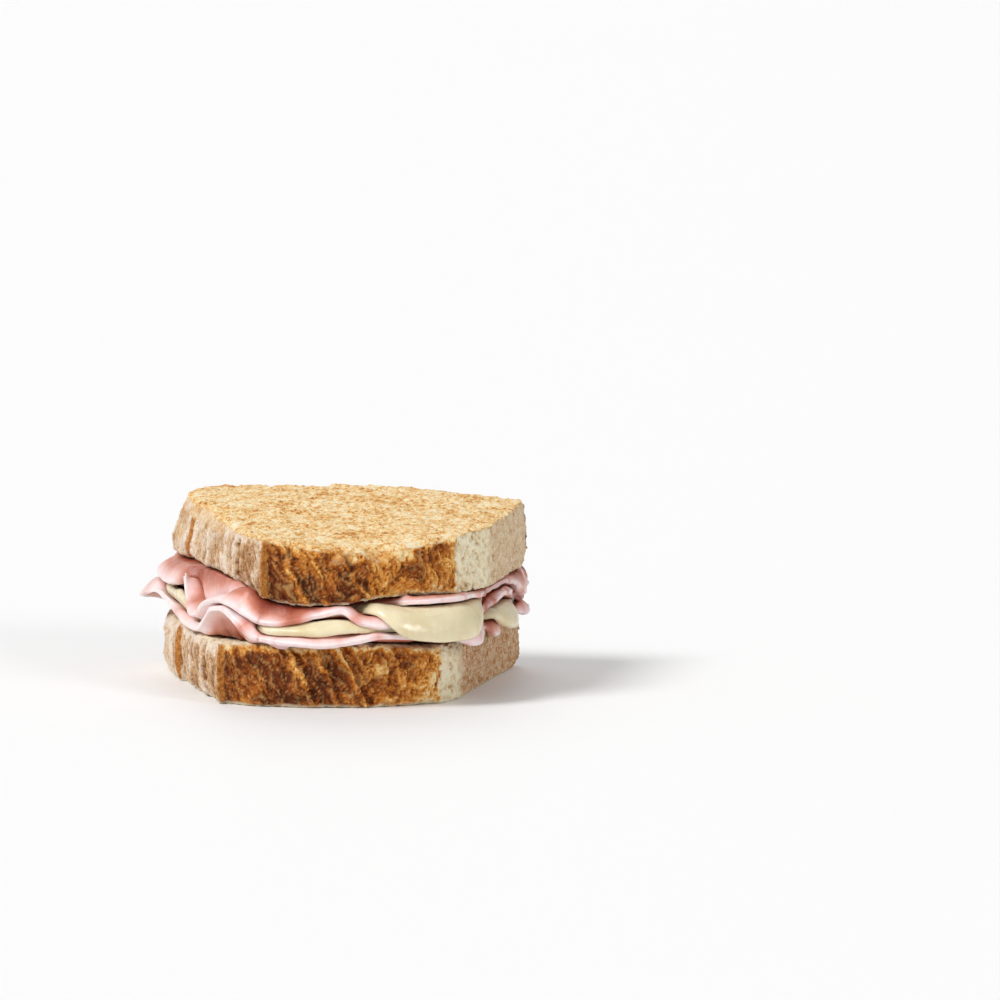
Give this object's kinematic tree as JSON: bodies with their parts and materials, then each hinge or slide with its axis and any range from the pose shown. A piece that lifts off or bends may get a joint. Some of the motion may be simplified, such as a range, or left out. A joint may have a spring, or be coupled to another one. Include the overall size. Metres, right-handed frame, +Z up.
{
  "type": "ham and cheese toastie",
  "caption": "Half of a toasted ham and cheese sandwich, cut across: thick slices of rustic bread holding ruffled ham and melting cheese.",
  "frame": {"origin": "middle of the bounding box, at its base, where the bottom slice lies on the plate", "axes": "+X along the front crust towards the cut face, +Y away from the front crust, +Z up"},
  "size_m": [0.1122, 0.1192, 0.0515],
  "materials": {
    "bread": "dry toasted crust and open crumb",
    "ham": "moist sliced ham",
    "cheese": "soft melted cheese"
  },
  "bodies": {
    "root": {"bread_bottom": "bread", "bread_top": "bread", "ham_lower": "ham", "ham_middle": "ham", "ham_upper": "ham", "cheese_lower": "cheese", "cheese_upper": "cheese"}
  },
  "joints": []
}
